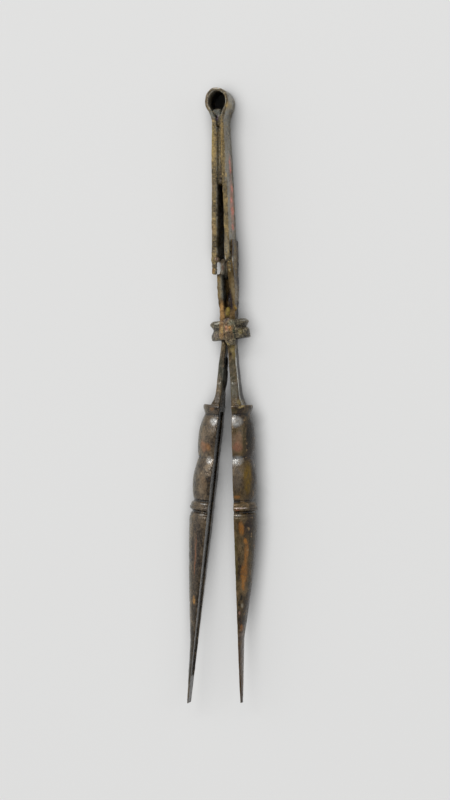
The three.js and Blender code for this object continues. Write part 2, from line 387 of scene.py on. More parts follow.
def seen_at(u, v, height=3.0):
    across = (u - pixels_across / 2) / focal_pixels
    x = (height * math.sin(tilt) + across * (distance - height * math.cos(tilt))) / (
        math.cos(tilt) + across * math.sin(tilt)
    )
    depth = distance - x * math.sin(tilt) - height * math.cos(tilt)
    return look_at + Vector((x, (pixels_down / 2 - v) / focal_pixels * depth, height)) * MM


# Corroded bronze: tones laid over one another by noise, by marks on the mesh and by patches; some marks
# and patches are painted light and shade
def bronze(name, dark, middle, light, areas, patches, shine, seed, relief=0.2, streak=1.0, speckle=0.7):
    material = bpy.data.materials.new(name)
    material.use_nodes = True
    tree = material.node_tree
    shader = tree.nodes["Principled BSDF"]
    place = node(tree, "ShaderNodeTexCoord").outputs["Object"]
    mapping = node(tree, "ShaderNodeMapping")
    fill(mapping.inputs["Vector"], place)
    fill(mapping.inputs["Location"], (seed, seed, 0))
    fill(mapping.inputs["Scale"], (1, streak, 1))
    shifted = mapping.outputs["Vector"]
    broad = noise(tree, shifted, scale=260, detail=5, rough=0.65).outputs["Fac"]
    fine = noise(tree, shifted, scale=1100, detail=5, rough=0.7).outputs["Fac"]
    grain = noise(tree, shifted, scale=2600, detail=3, rough=0.7).outputs["Fac"]

    # Where the source runs from low to high, the tint's share runs from share_low to share_high
    def layer(source, low, high, share_low, share_high, tint):
        return tinted(tree, span(tree, source, low, high, share_low, share_high), colour, tint)

    colour = tone(*middle)
    for mark_name, tint, strength in areas:
        area = node(tree, "ShaderNodeAttribute", attribute_name=mark_name)
        share = combine(tree, "MULTIPLY", area.outputs["Fac"], strength)
        colour = tinted(tree, share, colour, tone(*tint))
    colour = layer(broad, 0.5, 0.6, 0, 0.8, tone(*dark))
    colour = layer(broad, 0.36, 0.46, 0.7, 0, tone(*light))
    colour = layer(fine, 0.38, 0.46, speckle, 0, shade(dark, 0.7))
    colour = layer(fine, 0.55, 0.63, 0, speckle, tone(*light))
    wobble = 0.28 * MM
    wander = noise(tree, shifted, scale=700, detail=3, rough=0.6).outputs["Color"]
    drift = node(tree, "ShaderNodeVectorMath", operation="MULTIPLY_ADD")
    fill(drift.inputs[0], wander)
    fill(drift.inputs[1], Vector((1, 1, 1)) * 2 * wobble)
    fill(drift.inputs[2], place)
    broken = span(tree, fine, 0.42, 0.6, 1.0, 0.5)
    for centre, radii, tint, strength, turn in patches:
        near = node(tree, "ShaderNodeMapping", vector_type="TEXTURE")
        fill(near.inputs["Vector"], drift.outputs[0])
        fill(near.inputs["Location"], centre + Vector((1, 1, 1)) * wobble)
        fill(near.inputs["Rotation"], (0, 0, math.radians(turn)))
        fill(near.inputs["Scale"], Vector(radii) * MM)
        away = node(tree, "ShaderNodeVectorMath", operation="LENGTH")
        fill(away.inputs[0], near.outputs["Vector"])
        share = span(tree, away.outputs["Value"], 0.5, 1.25, strength, 0.0)
        share = combine(tree, "MULTIPLY", share, broken)
        colour = tinted(tree, share, colour, tone(*tint))
    colour = layer(grain, 0.52, 0.64, 0, speckle, shade(dark, 0.6))
    colour = layer(grain, 0.34, 0.44, speckle - 0.2, 0, shade(light, 1.2))
    edge = node(tree, "ShaderNodeNewGeometry").outputs["Pointiness"]
    colour = layer(edge, 0.42, 0.5, 0.65, 0.0, shade(dark, 0.45))
    colour = layer(edge, 0.52, 0.62, 0.0, 0.55, shade(light, 1.2))
    fill(shader.inputs["Base Color"], colour)
    metal = 0.3
    gloss = 0.5
    gloss_under_crust = 0.08
    smoothest = shine - 0.07
    roughest = shine + 0.22
    dull = node(tree, "ShaderNodeAttribute", attribute_name="dull").outputs["Fac"]
    fill(shader.inputs["Metallic"], span(tree, dull, 0, 1, metal, 0.0))
    fill(shader.inputs["Specular IOR Level"], span(tree, dull, 0, 1, gloss, gloss_under_crust))
    fill(shader.inputs["Roughness"], span(tree, fine, 0.38, 0.62, smoothest, roughest))
    bump = node(tree, "ShaderNodeBump")
    fill(bump.inputs["Strength"], 0.8)
    fill(bump.inputs["Distance"], relief * MM)
    fill(bump.inputs["Height"], combine(tree, "ADD", fine, grain))
    fill(shader.inputs["Normal"], bump.outputs["Normal"])
    return material


def dress(piece, material):
    piece.data.materials.clear()
    piece.data.materials.append(material)


# A patch seen at u pixels across and v down: reach from its middle in millimetres, turn in degrees
def spot(u, v, width, length, tint, strength=0.9, turn=0.0, height=3.0):
    spot_depth = 7.0
    return (seen_at(u, v, height), (width, length, spot_depth), tint, strength, turn)


salmon = (222, 124, 104)
stain_width = 0.9
leaf_patches = [
    spot(218.9, 150, 0.45, 9.5, (116, 108, 88), 0.85, height=5.0),
    spot(226.2, 148, 0.5, 9.5, (124, 122, 114), 0.9, height=5.5),
    spot(220.5, 173, 0.5, 2.6, (48, 42, 34), 0.9, height=4.8),
    spot(212.6, 140, 0.35, 5.0, (142, 124, 66), 0.7, height=5.5),
    spot(222.0, 132, 0.3, 4.0, (128, 104, 58), 0.7, height=5.5),
    spot(213.5, 150, 0.5, 3.0, (150, 128, 80), 0.6, height=5.5),
    spot(213.8, 186, 0.5, 2.4, (96, 84, 66), 0.7, height=5.5),
    spot(214.5, 205, 0.4, 1.2, (72, 62, 46), 0.7, height=5.5),
    spot(213.5, 228, 0.5, 2.2, (140, 116, 80), 0.6, height=5.5),
    spot(213.5, 271, 0.5, 0.9, (128, 98, 58), 0.8, height=5.5),
    spot(213.5, 265.3, 0.9, 0.12, (52, 40, 28), 0.9, height=5.5),
    spot(217.3, 259.5, 0.5, 0.7, (128, 108, 104), 0.9, height=4.6),
    spot(225.2, 258, 0.25, 0.8, (170, 165, 150), 0.9, height=5.5),
    spot(226.5, 245, 0.6, 2.6, (122, 118, 106), 0.6, height=5.5),
    spot(221.5, 150, 0.25, 3.0, (138, 114, 66), 0.7, height=5.5),
    spot(223.0, 196, 0.25, 2.6, (132, 110, 66), 0.7, height=5.5),
]
salmon_stains = [
    (228.3, 162, -0.2, 0.8, 1.2), (229.2, 170, -1.6, 1.1, 1.4), (230.6, 189, -2.2, 1.2, 1.9),
    (231.2, 200, -0.6, 0.9, 1.3), (231.7, 211, -1.9, 1.3, 2.1), (232.1, 227, -1.1, 0.9, 1.6),
]
for u, v, height, long, deep in salmon_stains:
    leaf_patches.append((seen_at(u, v, height), (stain_width, long, deep * 1.3), salmon, 0.8, 0.0))
leaf_patches += [
    (seen_at(231.2, 206, -1.2), (stain_width, 8.5, 3.4), salmon, 0.4, 0.0),
    (seen_at(228.8, 166, -1.0), (stain_width, 3.4, 2.8), salmon, 0.4, 0.0),
    # Painted glint on the eye's top rim
    spot(217, 88.2, 1.1, 0.22, (196, 194, 188), 0.85, height=5.5),
    spot(216, 90.0, 2.4, 0.3, (84, 78, 66), 0.8, height=5.5),
    spot(215.5, 113, 1.9, 1.5, (92, 95, 90), 0.95, height=4.4),
    # Painted shade: darker at the top of the crust inside the eye
    spot(216, 107.6, 1.9, 0.6, (36, 38, 36), 0.85, height=4.4),
    spot(223.8, 150, 0.45, 10.0, (88, 74, 46), 0.75, height=5.5),
    spot(217, 117.5, 0.35, 0.9, (96, 84, 100), 0.8, height=5.0),
    # Painted glint on the eye's left rim
    spot(208.3, 106, 0.2, 1.3, (170, 162, 144), 0.7, 20, 5.5),
    spot(207.2, 99, 0.5, 3.4, (108, 98, 84), 0.75, 4, 5.5),
    # Painted golden glint on the eye's right rim
    spot(227.5, 106, 0.35, 1.6, (138, 118, 74), 0.8, -10, 5.5),
    spot(211, 95, 0.4, 0.8, (120, 104, 84), 0.8, -40, 5.5),
    spot(224.5, 92, 0.5, 0.8, (110, 104, 90), 0.8, 40, 5.5),
    spot(206.5, 101, 0.25, 1.2, (84, 72, 56), 0.8, 0, 5.5),
]
strip_bronze = bronze(
    "strip_bronze", dark=(66, 58, 42), middle=(101, 88, 61), light=(136, 117, 79),
    shine=0.32, seed=0.03,
    areas=[
        # The side faces' pale grey is partly their grey patina, partly painted light
        ("by_eye", (64, 58, 48), 0.85), ("grey_and_lit_side", (132, 131, 122), 0.9),
        # Inside the eye: painted light, pale, on the wall near its mouth; painted shade, near black,
        # deeper in
        ("inside_lit", (170, 168, 158), 0.9), ("eye_depth_painted_shade", (8, 8, 7), 1.0),
    ],
    patches=leaf_patches,
)
for piece in (eye_strip, left_leaf, right_leaf):
    dress(piece, strip_bronze)
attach(eye_strip, "bow")
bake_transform(left_leaf)
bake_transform(right_leaf)
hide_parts("spring_bow")

# LEGS
# Two bronze castings, turned on their outer side and filed flat where they face each other.
# Each has a tang soldered to its leaf, a stem, a flange, two beads, a collar and a long blade.

# The lean of the pair and the opening of each leg, in degrees
leg_lean = -2.51
open_angle = 3.94
flange_top = 16.0
flange_height = 2.6
# Outlines are millimetres down from the top of each stretch, and the radius there
flange_line = [(0.0, 4.85), (0.12, 5.02), (0.5, 5.12), (1.1, 5.05), (1.7, 4.75), (2.2, 4.48), (2.5, 4.4)]
collar_line = [
    (0.3, 4.75), (0.6, 5.1), (0.9, 5.42), (1.3, 5.5), (1.5, 5.36), (1.62, 5.42), (1.85, 5.7),
    (2.2, 5.78), (2.55, 5.62), (2.8, 5.2), (2.95, 4.88), (3.25, 4.86), (3.5, 5.15), (3.7, 5.36),
    (4.05, 5.42), (4.25, 5.3), (4.35, 5.32), (4.55, 5.48), (4.9, 5.5),
]
bead_length = 11.45
bead_sizes = [(5.55, 4.4, 4.7), (5.7, 4.7, 4.72)]
beads_top = flange_top + flange_height
collar_grooves = [41.6, 44.6]
seams = [beads_top, beads_top + bead_length, *collar_grooves]
blade_length = 17.0
shoulder_end = 46.4


def bead_line(size, top, bottom):
    bead_steps = 16
    upper_power = 0.85
    lower_power = 0.5
    line = []
    for step in range(1, bead_steps + 1):
        share = (1 - math.cos(math.pi * step / bead_steps)) / 2
        swell = max(math.sin(math.pi * share), 0.0) ** (upper_power if share < 0.5 else lower_power)
        plain = top + (bottom - top) * share
        line.append((share * bead_length, plain + (size - plain) * swell))
    return line


def turned_line(length, blade, tip, taper_power):
    taper_steps = 12
    blade_steps = 5
    line = [(flange_top + down, radius) for down, radius in flange_line]
    top = beads_top
    for size, upper, lower in bead_sizes:
        line += [(top + down, radius) for down, radius in bead_line(size, upper, lower)]
        top += bead_length
    line += [(top + down, radius) for down, radius in collar_line]
    start, radius = line[-1]
    end = length - blade_length
    for step in range(1, taper_steps + 1):
        share = step / taper_steps
        line.append((start + (end - start) * share, radius + (blade - radius) * share ** taper_power))
    for step in range(1, blade_steps + 1):
        share = step / blade_steps
        line.append((end + blade_length * share, blade + (tip - blade) * share))
    return line


def half_depth(down, radius, length, tip_depth):
    collar_depth = 5.5
    blade_depth = 3.5
    end = length - blade_length
    if down <= shoulder_end:
        return radius
    if down <= end:
        return collar_depth + (blade_depth - collar_depth) * (down - shoulder_end) / (end - shoulder_end)
    return blade_depth + (tip_depth - blade_depth) * ((down - end) / blade_length) ** 2


def turned_half(name, line, drop, depth_at):
    outline = [Vector((0, -(down + drop), radius)) * MM for down, radius in line]
    top = Vector((0, -(line[0][0] + drop), 0)) * MM
    bottom = Vector((0, -(line[-1][0] + drop), 0)) * MM
    piece = start_point(name, top)
    draw_line(top, [*outline, bottom])
    bpy.ops.mesh.select_all(action="SELECT")
    bpy.ops.mesh.spin(steps=28, angle=math.pi, center=(0, 0, 0), axis=(0, -1, 0))
    bpy.ops.mesh.select_all(action="SELECT")
    bpy.ops.mesh.remove_doubles(threshold=touch * MM)
    for down, radius in line:
        depth = depth_at(down, radius)
        if abs(depth - radius) > touch:
            level = -(down + drop) * MM
            pick_vertices(piece, lambda co, level=level: abs(co.y - level) < touch * MM)
            bpy.ops.transform.resize(value=(1, 1, depth / radius), center_override=(0, level, 0))
    bpy.ops.mesh.select_all(action="DESELECT")
    bpy.ops.mesh.select_non_manifold()
    bpy.ops.mesh.edge_face_add()
    bpy.ops.mesh.select_all(action="SELECT")
    bpy.ops.mesh.normals_make_consistent(inside=False)
    bpy.ops.object.mode_set(mode="OBJECT")
    return piece


# A bar drawn through stations: height, inner face, outer face and half depth of each
def drawn_bar(name, stations):
    height, inner, outer, depth = stations[0]
    bpy.ops.object.select_all(action="DESELECT")
    bpy.ops.mesh.primitive_plane_add(
        size=1, location=((inner + outer) / 2 * MM, height * MM, 0), rotation=(math.pi / 2, 0, 0)
    )
    piece = bpy.context.object
    piece.name = name
    piece.scale = ((outer - inner) * MM, 2 * depth * MM, 1)
    bpy.ops.object.transform_apply(location=True, rotation=True, scale=True)
    bpy.ops.object.mode_set(mode="EDIT")
    bpy.ops.mesh.select_all(action="SELECT")
    for before, after in zip(stations, stations[1:]):
        height, inner, outer, depth = before
        next_height, next_inner, next_outer, next_depth = after
        middle = (inner + outer) / 2
        next_middle = (next_inner + next_outer) / 2
        move = Vector((next_middle - middle, next_height - height, 0)) * MM
        bpy.ops.mesh.extrude_region_move(TRANSFORM_OT_translate={"value": move})
        bpy.ops.transform.resize(
            value=((next_outer - next_inner) / (outer - inner), 1, next_depth / depth),
            center_override=(next_middle * MM, next_height * MM, 0),
        )
    bpy.ops.mesh.select_all(action="SELECT")
    bpy.ops.mesh.normals_make_consistent(inside=False)
    bpy.ops.object.mode_set(mode="OBJECT")
    return piece


def cut_away(piece, tool):
    use_modifier(piece, "BOOLEAN", operation="DIFFERENCE", solver="EXACT", object=tool)
    bpy.data.objects.remove(tool)


left_stations = [
    (22.7, 2.98, 4.33, 5.2), (18.9, 2.72, 4.07, 5.2), (18.2, 3.05, 4.45, 4.4), (14.5, 2.55, 4.17, 3.7),
    (12.0, 2.04, 3.66, 3.4), (9.4, 1.58, 3.02, 3.05), (6.7, 1.14, 2.66, 2.8), (0, 0.2, 1.45, 2.8),
    (-5.5, 0.01, 1.6, 2.8), (-10.0, -0.15, 1.47, 3.0), (-13.4, -0.26, 1.33, 4.0),
    (-14.7, -0.31, 1.5, 4.3), (-15.5, -0.33, 1.85, 4.5), (-16.6, -0.35, 2.3, 4.6),
]
right_stations = [
    (28.0, 2.2, 2.65, 5.2), (22.3, 2.2, 2.65, 5.2), (21.9, 0.95, 2.63, 5.0), (17.0, 1.05, 2.75, 3.7),
    (14.5, 1.3, 2.8, 3.45), (9.4, 1.3, 2.62, 3.05), (6.7, 0.75, 2.5, 2.8), (0, 0.2, 2.27, 2.8),
    (-5.5, 0.53, 2.53, 2.8), (-10.0, 0.81, 2.87, 3.0), (-13.4, 1.01, 3.14, 4.0),
    (-14.7, 1.09, 3.4, 4.3), (-15.5, 1.13, 3.75, 4.5), (-16.4, 1.17, 3.95, 4.6),
]
trough_depth = 0.4
trough_start = -18
trough_half_width = 2.7


def cast_leg(name, side, stations, jaw, line, drop, trough_end, depth_at, crusts):
    bar = drawn_bar(f"{name}_stem", stations)
    use_modifier(bar, "BEVEL", width=0.45 * MM, segments=2, limit_method="ANGLE")
    turned = turned_half(f"{name}_turned", line, drop, depth_at)
    trough = block(
        Vector((-trough_depth, trough_end, -trough_half_width)) * MM,
        Vector((trough_depth, trough_start, trough_half_width)) * MM, rounding=0.3,
    )
    cut_away(turned, trough)
    turned.data.transform(Matrix.Translation(Vector((jaw, 0, 0)) * MM))
    lumps = [lump(Vector(place) * MM, radii) for place, radii in crusts]
    leg = join_pieces(turned, bar, *lumps)
    leg.name = name
    use_modifier(leg, "REMESH", mode="VOXEL", voxel_size=fine_voxel * MM)
    if side < 0:
        leg.data.transform(Matrix.Scale(-1, 4, (1, 0, 0)))
        leg.data.flip_normals()
    return leg


def set_leg(leg, side, drop):
    def in_seam(co, normal):
        seam_core = 0.15
        seam_reach = 0.6
        down = -co.y / MM - drop
        return max(1 - rise(abs(down - seam), seam_core, seam_reach) for seam in seams)

    def dulled(co, normal):
        faint = 0.8
        above_ring = rise(co.y, along(4), along(9))
        beside_flange = rise(co.y, along(-14), along(-12)) * rise(normal.x, 0.8, 0.95)
        on_flange = rise(co.y, along(-16.5), along(-15.5)) * (1 - rise(co.y, along(-11), along(-9)))
        at_tip = 1 - rise(co.y, along(-90), along(-84))
        return max(above_ring, beside_flange, faint * on_flange, faint * at_tip)

    weigh(leg, "crusted", lambda co: rise(co.y, -3 * MM, 2 * MM))
    mark(leg, "seam", in_seam)
    turn = Matrix.Rotation(math.radians(leg_lean + side * open_angle), 4, "Z")
    leg.data.transform(Matrix.Translation(waist) @ turn)
    corrode(leg, grain=2.6, depth=0.14)
    corrode(leg, grain=0.7, depth=0.05)
    corrode(leg, grain=1.1, depth=0.3, weights="crusted")
    use_modifier(leg, "DECIMATE", ratio=kept_share)
    lay_flat(leg)
    mark(leg, "outer", lambda co, normal: rise(normal.x * side, 0.5, 0.95))
    mark(leg, "inner", lambda co, normal: rise(-normal.x * side, 0.6, 0.9))
    mark(leg, "dull", dulled)


left_length = 96.0
left_drop = 0.35
left_leg = cast_leg(
    "left_leg_cast", side=-1, stations=left_stations, jaw=-0.35,
    line=turned_line(left_length, blade=1.6, tip=0.5, taper_power=1.2), drop=left_drop, trough_end=-89,
    depth_at=lambda down, radius: half_depth(down, radius, left_length, tip_depth=2.5),
    crusts=[
        ((0.1, -5.6, -1.2), (0.55, 2.6, 1.8)), ((-0.1, -9.2, -0.9), (0.65, 3.4, 2.0)),
        ((0.65, 8.4, 1.4), (1.1, 1.9, 1.8)), ((2.6, 20.1, -1.5), (1.0, 2.7, 2.6)),
    ],
)
broken_corner = block(Vector((-12, 18.4, 1.3)) * MM, Vector((12, 40, 12)) * MM)
cut_away(left_leg, broken_corner)
set_leg(left_leg, side=-1, drop=left_drop)
right_length = 95.5
right_drop = 0.1
right_leg = cast_leg(
    "right_leg_cast", side=1, stations=right_stations, jaw=1.17,
    line=turned_line(right_length, blade=1.15, tip=0.45, taper_power=1.4), drop=right_drop, trough_end=-82,
    depth_at=lambda down, radius: half_depth(down, radius, right_length, tip_depth=1.7),
    crusts=[
        ((0.75, 10.4, -1.0), (1.45, 4.2, 2.6)), ((0.3, 16.2, -3.0), (1.5, 4.4, 2.0)),
        ((2.35, 9.4, 2.3), (0.75, 0.65, 0.8)),
    ],
)
set_leg(right_leg, side=1, drop=right_drop)

orange = (150, 102, 52)
# Painted highlights: light grey on the tops of the beads, the collar and the shoulder
painted_highlight = (150, 150, 148)
left_patches = [
    spot(197.5, 545, 1.9, 9.5, (46, 42, 37), 0.85, -4),
    spot(196.5, 590, 1.5, 8.0, (50, 45, 37), 0.8, -5),
    spot(192.5, 640, 1.3, 10.0, (50, 46, 40), 0.85, -5),
    # Painted highlights on the left leg's beads, collar and shoulder
    spot(214.8, 421.5, 1.1, 1.2, painted_highlight, 0.75),
    spot(210.5, 460, 1.0, 1.1, painted_highlight, 0.7),
    spot(204.5, 503.5, 0.9, 0.25, painted_highlight, 0.5),
    spot(203.0, 514.5, 0.8, 0.35, painted_highlight, 0.5),
    spot(204, 446, 0.8, 1.8, (128, 92, 66), 0.8, 10),
    spot(213, 409, 0.8, 0.5, (104, 78, 54), 0.8, 20),
    spot(209, 447, 0.9, 1.3, (128, 92, 60), 0.8, 15),
    spot(204, 437, 0.7, 1.5, (112, 98, 84), 0.6),
    spot(205, 482, 0.9, 2.4, (104, 86, 66), 0.7, 10),
    spot(198, 470, 0.5, 2.0, (104, 98, 88), 0.6, 15),
    spot(194.5, 600, 0.45, 1.3, (140, 104, 58), 0.9),
    spot(196, 545, 0.4, 4.0, (96, 78, 62), 0.6, 3),
    spot(199, 560, 0.3, 5.0, (46, 42, 38), 0.8, -3),
    # Painted highlight along the left edge of the left leg's taper
    (seen_at(192.2, 556, 1.8), (0.3, 11.0, 1.3), (160, 160, 152), 0.8, -0.6),
    spot(191, 680, 2.2, 9.0, (52, 52, 49), 0.9, 6),
    spot(222, 312, 0.8, 3.0, (160, 126, 84), 0.85),
    spot(228, 311, 0.9, 1.6, (128, 112, 62), 0.95),
    spot(226, 305, 0.6, 0.6, (90, 84, 60), 0.9),
    spot(218.5, 279, 0.6, 0.8, (130, 108, 70), 0.8),
    # Painted light on the left tang's broken face, which lies in shade
    spot(224.5, 267, 1.3, 2.4, (150, 144, 130), 0.95, height=0.0),
    spot(222.8, 268, 0.25, 0.8, (120, 60, 50), 0.8, height=1.0),
    # Painted light on the left tang's inner face, which lies in deep shadow
    spot(224.5, 287, 1.1, 3.6, (120, 122, 116), 0.95, height=0.0),
    spot(219.8, 288, 0.7, 3.6, (126, 112, 84), 0.75),
    spot(224, 347, 0.8, 1.5, (98, 86, 62), 0.9),
    spot(196, 556, 0.25, 6.0, (112, 74, 52), 0.7, -4),
    spot(225.4, 361, 0.5, 1.5, (16, 15, 13), 0.9),
    spot(225.2, 375, 0.35, 2.4, (126, 126, 118), 0.8, height=0.0),
    spot(218, 398, 0.9, 1.6, (104, 98, 90), 0.6),
    spot(220.5, 372, 1.0, 5.0, (76, 76, 66), 0.75),
    spot(219, 387, 0.9, 1.8, (84, 78, 66), 0.75),
]
right_patches = [
    # Painted highlights on the right leg's beads, collar and shoulder
    spot(237.0, 421.5, 1.8, 1.5, painted_highlight, 0.8),
    spot(238.0, 460.5, 1.6, 1.5, painted_highlight, 0.75),
    spot(242.0, 508, 1.8, 0.2, painted_highlight, 0.6),
    spot(239.0, 515, 1.1, 0.4, painted_highlight, 0.6),
    spot(237.0, 443, 1.6, 3.0, (118, 100, 84), 0.8),
    spot(238.5, 447, 1.3, 1.4, (142, 90, 72), 0.7, 30),
    spot(238.0, 478, 1.4, 4.0, (94, 86, 78), 0.8),
    # Painted shade on the right side of the right leg's upper bead
    spot(251.0, 432, 0.9, 4.5, (36, 36, 32), 0.9, height=1.0),
    spot(234.5, 410.5, 1.6, 0.5, (62, 58, 30), 0.8, 10),
    # Painted highlight on the rim of the right flange
    spot(242.0, 406.5, 0.9, 0.4, (160, 142, 100), 0.8, 20),
    spot(240, 442, 1.0, 2.8, (126, 98, 78), 0.7),
    spot(245, 438, 0.4, 3.8, (62, 56, 40), 0.8),
    # Painted shade on the right side of the right leg's upper bead
    spot(250.5, 440, 0.8, 4.2, (44, 42, 36), 0.85, height=1.0),
    spot(248, 478, 1.1, 4.8, (100, 80, 0), 1.0),
    spot(238.5, 497, 1.0, 0.6, (134, 94, 58), 0.8),
    # Painted highlight along the right collar
    spot(241, 508, 1.8, 0.22, (186, 168, 158), 0.8),
    spot(239, 510, 0.7, 0.22, (128, 66, 48), 0.7),
    spot(242.5, 528, 0.8, 2.0, orange, 0.8, 5),
    spot(246, 541, 0.5, 1.0, orange, 0.85, 8),
    spot(247, 552, 0.6, 3.0, orange, 0.7, -3),
    spot(245, 572, 1.0, 3.6, orange, 0.75, -6),
    spot(243.6, 585, 0.4, 1.5, orange, 0.8),
    spot(237, 560, 0.5, 9.0, (84, 78, 50), 0.6),
    spot(251, 560, 0.7, 9.0, (62, 56, 42), 0.7, -5, 1.0),
    spot(241.4, 597, 0.4, 1.1, (28, 25, 20), 0.9),
    spot(239.8, 603, 0.35, 1.0, (34, 32, 26), 0.85),
    spot(242.6, 605.5, 0.35, 0.7, (134, 128, 114), 0.85),
    spot(239.8, 613, 0.35, 0.6, (146, 114, 98), 0.8),
    spot(241.5, 628, 0.4, 1.0, (146, 98, 50), 0.85),
    spot(240.5, 635, 1.2, 0.5, (126, 112, 102), 0.85),
    spot(241, 664, 1.4, 11.0, (72, 56, 44), 0.85),
    spot(238, 268, 0.9, 5.5, (52, 46, 28), 0.95, 4, 1.0),
    # Painted highlight on the right tang's front edge
    spot(236.5, 283, 0.3, 3.0, (176, 174, 168), 0.9, 8, 3.0),
    # Dark crust, deepened by painted shade in the gap between the tangs
    spot(230.0, 299, 0.8, 3.6, (48, 46, 50), 1.0, 7, 3.0),
    spot(234.5, 292, 0.55, 5.0, (122, 108, 84), 0.8, 7, 3.4),
    # Dark crust, deepened by painted shade in the gap between the tangs
    spot(228.5, 309, 0.9, 1.6, (46, 42, 44), 0.9, 7, 2.0),
    # Painted shade in the crevice at the top of the right tang
    spot(235.2, 250, 0.6, 1.5, (24, 22, 16), 0.95, height=4.0),
    (seen_at(234.6, 269, 4.4), (0.2, 4.2, 1.2), (190, 188, 176), 1.0, 9.8),
    spot(237.6, 291, 0.35, 2.4, (140, 134, 132), 0.9, height=1.5),
    spot(233, 292, 0.6, 3.0, (116, 104, 82), 0.7, 10, 4.0),
    spot(237, 306.3, 0.8, 0.7, (150, 118, 46), 0.95),
    # Painted highlight along the right stem's front edge
    (seen_at(237.5, 359, 2.2), (0.6, 4.8, 0.9), (222, 222, 214), 1.0, 2),
    (seen_at(239.2, 384, 2.2), (0.6, 3.4, 0.9), (222, 222, 214), 1.0, 6),
    (seen_at(241.7, 400, 2.4), (0.5, 1.8, 0.8), (210, 210, 200), 1.0, 24),
    # Painted shade on the right stem's outer side
    (seen_at(239.2, 361, -1.0), (0.8, 6.8, 2.4), (14, 14, 11), 1.0, 2),
    (seen_at(241.2, 386, -1.0), (0.9, 5.2, 2.5), (14, 14, 11), 1.0, 8),
    spot(232, 347, 0.9, 1.6, (138, 122, 80), 0.9),
    spot(229.5, 345, 0.5, 1.2, (70, 66, 52), 0.9),
    spot(233.5, 355, 0.5, 1.4, (118, 106, 72), 0.8),
    spot(240, 402, 0.9, 0.9, (112, 100, 66), 0.7),
    spot(234.5, 392, 1.3, 2.4, (78, 75, 63), 0.85),
    spot(232.5, 373, 1.1, 4.5, (80, 78, 66), 0.7),
    (seen_at(236.2, 259, 0.5), (1.2, 5.2, 3.4), (116, 98, 60), 0.85, 4),
    # Painted shade in the crevice at the top of the right tang
    (seen_at(235.0, 248.5, 3.0), (0.8, 1.8, 2.0), (20, 18, 13), 1.0, 4),
]
leg_shine = 0.2
leg_relief = 0.07
left_bronze = bronze(
    "left_leg_bronze", dark=(44, 40, 34), middle=(78, 68, 56), light=(108, 94, 76),
    shine=leg_shine, seed=0.11, relief=leg_relief, streak=0.7, speckle=0.45,
    # The outer side, facing left, is tinted pale grey: partly greenish patina, partly painted light
    areas=[("outer", (90, 88, 76), 0.6), ("inner", (58, 58, 54), 0.85), ("seam", (26, 23, 19), 0.9)],
    patches=left_patches,
)
right_bronze = bronze(
    "right_leg_bronze", dark=(46, 40, 30), middle=(82, 70, 52), light=(112, 93, 68),
    shine=leg_shine, seed=0.17, relief=leg_relief, streak=0.6, speckle=0.32,
    # The outer side, facing right, is tinted dark olive: partly crust, partly painted shade
    areas=[("outer", (46, 42, 30), 0.85), ("inner", (50, 46, 38), 0.8), ("seam", (26, 23, 18), 0.9)],
    patches=right_patches,
)
for leg, body, metal, slot, cad in (
    (left_leg, "left_arm", left_bronze, "left_leg_bronze", "left_leg"),
    (right_leg, "right_arm", right_bronze, "right_leg_bronze", "right_leg"),
):
    dress(leg, metal)
    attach(leg, body)
    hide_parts(cad)

# SLIDING RING
# An oval bronze spool with a deep groove and a slot, which slides on both stems to lock the legs.
# Corrosion has crusted it over at the front.

# The outline is millimetres up from the ring's middle, and the radius there
ring_half = 2.6
ring_line = [
    (-ring_half, 4.9), (-2.4, 5.2), (-1.7, 5.3), (-1.1, 5.2), (-0.3, 4.75), (0.3, 4.45), (0.9, 4.85),
    (1.35, 5.12), (1.65, 5.3), (2.0, 5.22), (2.5, 4.6), (ring_half, 4.2),
]
ring_foot = Vector((0, -ring_half, 0)) * MM
ring = start_point("sliding_ring_cast", ring_foot)
draw_line(ring_foot, [Vector((radius, up, 0)) * MM for up, radius in ring_line] + [-ring_foot])
bpy.ops.mesh.select_all(action="SELECT")
bpy.ops.mesh.spin(steps=64, angle=2 * math.pi, center=(0, 0, 0), axis=(0, 1, 0))
bpy.ops.mesh.select_all(action="SELECT")
bpy.ops.mesh.remove_doubles(threshold=touch * MM)
bpy.ops.mesh.normals_make_consistent(inside=False)
bpy.ops.object.mode_set(mode="OBJECT")
ring_depth_share = 0.85
ring.data.transform(Matrix.Diagonal((1, 1, ring_depth_share, 1)))
slot_corner = Vector((2.95, 6, 3.1)) * MM
slot = block(-slot_corner, slot_corner, rounding=0.8)
cut_away(ring, slot)
ring_place = at_waist(0.6, 4.1)
ring_lean = math.radians(6.5)
ring.data.transform(Matrix.Translation(ring_place) @ Matrix.Rotation(ring_lean, 4, "Z"))
crust = lump(seen_at(228.3, 329, 4.35), radii=(2.3, 3.1, 0.95))
lower_rim = lump(seen_at(230.5, 340, 3.9), radii=(1.5, 1.6, 0.8))
bulge = lump(seen_at(245, 331, 1.0), radii=(1.3, 1.3, 2.4))
join_pieces(ring, crust, lower_rim, bulge)
ring_voxel = 0.14
use_modifier(ring, "REMESH", mode="VOXEL", voxel_size=ring_voxel * MM)
corrode(ring, grain=1.6, depth=0.3)
corrode(ring, grain=0.6, depth=0.12)
weigh(ring, "front", lambda co: rise(co.z, waist.z + 3.6 * MM, waist.z + 4.4 * MM))
corrode(ring, grain=0.9, depth=0.7, weights="front")
use_modifier(ring, "DECIMATE", ratio=kept_share)
lay_flat(ring)
to_ring = Matrix.Rotation(-ring_lean, 3, "Z")


def in_groove(co, normal):
    groove_line = 0.35
    groove_radius = 5.25
    local = to_ring @ (co - ring_place) / MM
    spread = math.hypot(local.x, local.z / ring_depth_share)
    return (1 - rise(abs(local.y - groove_line), 0.25, 0.8)) * rise(groove_radius - spread, 0.0, 0.4)


